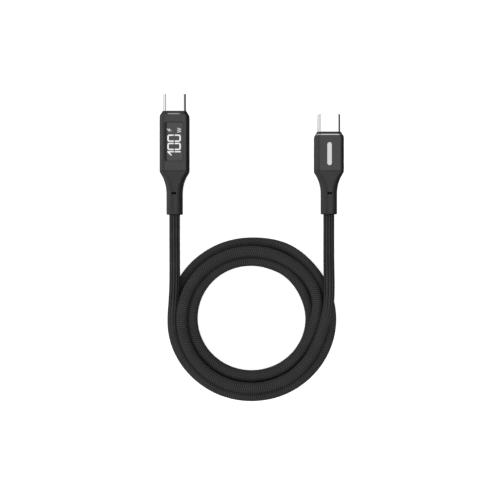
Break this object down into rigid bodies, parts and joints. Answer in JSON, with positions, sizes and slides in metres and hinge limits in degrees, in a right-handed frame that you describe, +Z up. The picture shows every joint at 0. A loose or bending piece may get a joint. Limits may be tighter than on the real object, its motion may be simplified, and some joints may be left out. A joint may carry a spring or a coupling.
{
  "type": "usb power meter",
  "caption": "Braided USB Type-C charging cable, wound in an oval coil, with a power meter and its lit reading built into one plug.",
  "frame": {"origin": "centre of the underside of the meter plug, strain relief and tongue included, on the surface that everything lies on", "axes": "+Y along the meter plug towards the tip of its tongue, +Z up out of the display, +X to the side on which the other plug lies"},
  "size_m": [0.0668, 0.1109, 0.0117],
  "materials": {
    "anthracite_metal": "satin",
    "black_tpe": "matte",
    "braid": "matte",
    "shell_steel": "polished",
    "spring_steel": "satin",
    "black_plastic": "satin",
    "natural_plastic": "satin",
    "contact_gold": "polished",
    "board_green": "satin",
    "chip_black": "matte",
    "ceramic_tan": "matte",
    "display_black": "satin",
    "lens_smoke": "gloss",
    "badge_silver": "satin",
    "crimp_copper": "satin",
    "wire_red": "satin",
    "wire_black": "satin",
    "wire_blue": "satin",
    "wire_green": "satin",
    "wire_white": "satin",
    "display_digits": "satin"
  },
  "bodies": {
    "cord": {"cable_coil": "braid", "cable_tail_meter": "braid", "cable_tail_far": "braid"},
    "meter_plug": {"meter_housing": "anthracite_metal", "meter_plug_shell": "shell_steel", "meter_contact_carrier": "black_plastic", "meter_contacts_upper": "contact_gold", "meter_contacts_lower": "contact_gold", "meter_latch_left": "spring_steel", "meter_latch_right": "spring_steel", "meter_front_insert": "black_plastic", "meter_paddle_board": "board_green", "meter_emarker_chip": "chip_black", "meter_inner_frame": "natural_plastic", "meter_strain_relief": "black_tpe", "meter_crimp_ring": "crimp_copper", "meter_cable_end": "braid", "meter_wire_vbus": "wire_red", "meter_wire_ground": "wire_black", "meter_wire_cc": "wire_blue", "meter_wire_data_plus": "wire_green", "meter_wire_data_minus": "wire_white", "meter_board": "board_green", "meter_led_display": "display_black", "meter_display_lens": "lens_smoke", "meter_controller_chip": "chip_black", "meter_shunt_resistor": "ceramic_tan", "meter_capacitor_left": "ceramic_tan", "meter_capacitor_right": "ceramic_tan", "meter_board_header": "chip_black"},
    "far_plug": {"far_housing": "anthracite_metal", "far_plug_shell": "shell_steel", "far_contact_carrier": "black_plastic", "far_contacts_upper": "contact_gold", "far_contacts_lower": "contact_gold", "far_latch_left": "spring_steel", "far_latch_right": "spring_steel", "far_front_insert": "black_plastic", "far_paddle_board": "board_green", "far_emarker_chip": "chip_black", "far_inner_frame": "natural_plastic", "far_strain_relief": "black_tpe", "far_crimp_ring": "crimp_copper", "far_cable_end": "braid", "far_wire_vbus": "wire_red", "far_wire_ground": "wire_black", "far_wire_cc": "wire_blue", "far_wire_data_plus": "wire_green", "far_wire_data_minus": "wire_white", "far_badge": "badge_silver"}
  },
  "joints": [
    {"name": "meter_relief_flex", "type": "hinge", "parent": "cord", "child": "meter_plug", "pos_m": [0, -0.017, 0.0033], "axis": [0, 0, 1], "range_deg": [-20, 20], "stiffness_Nm_per_rad": 0.05, "deforming": ["meter_strain_relief", "meter_cable_end"]},
    {"name": "far_relief_flex", "type": "hinge", "parent": "cord", "child": "far_plug", "pos_m": [0.05606, -0.017, 0.0033], "axis": [0, 0, 1], "range_deg": [-20, 20], "stiffness_Nm_per_rad": 0.05, "deforming": ["far_strain_relief", "far_cable_end"]}
  ]
}
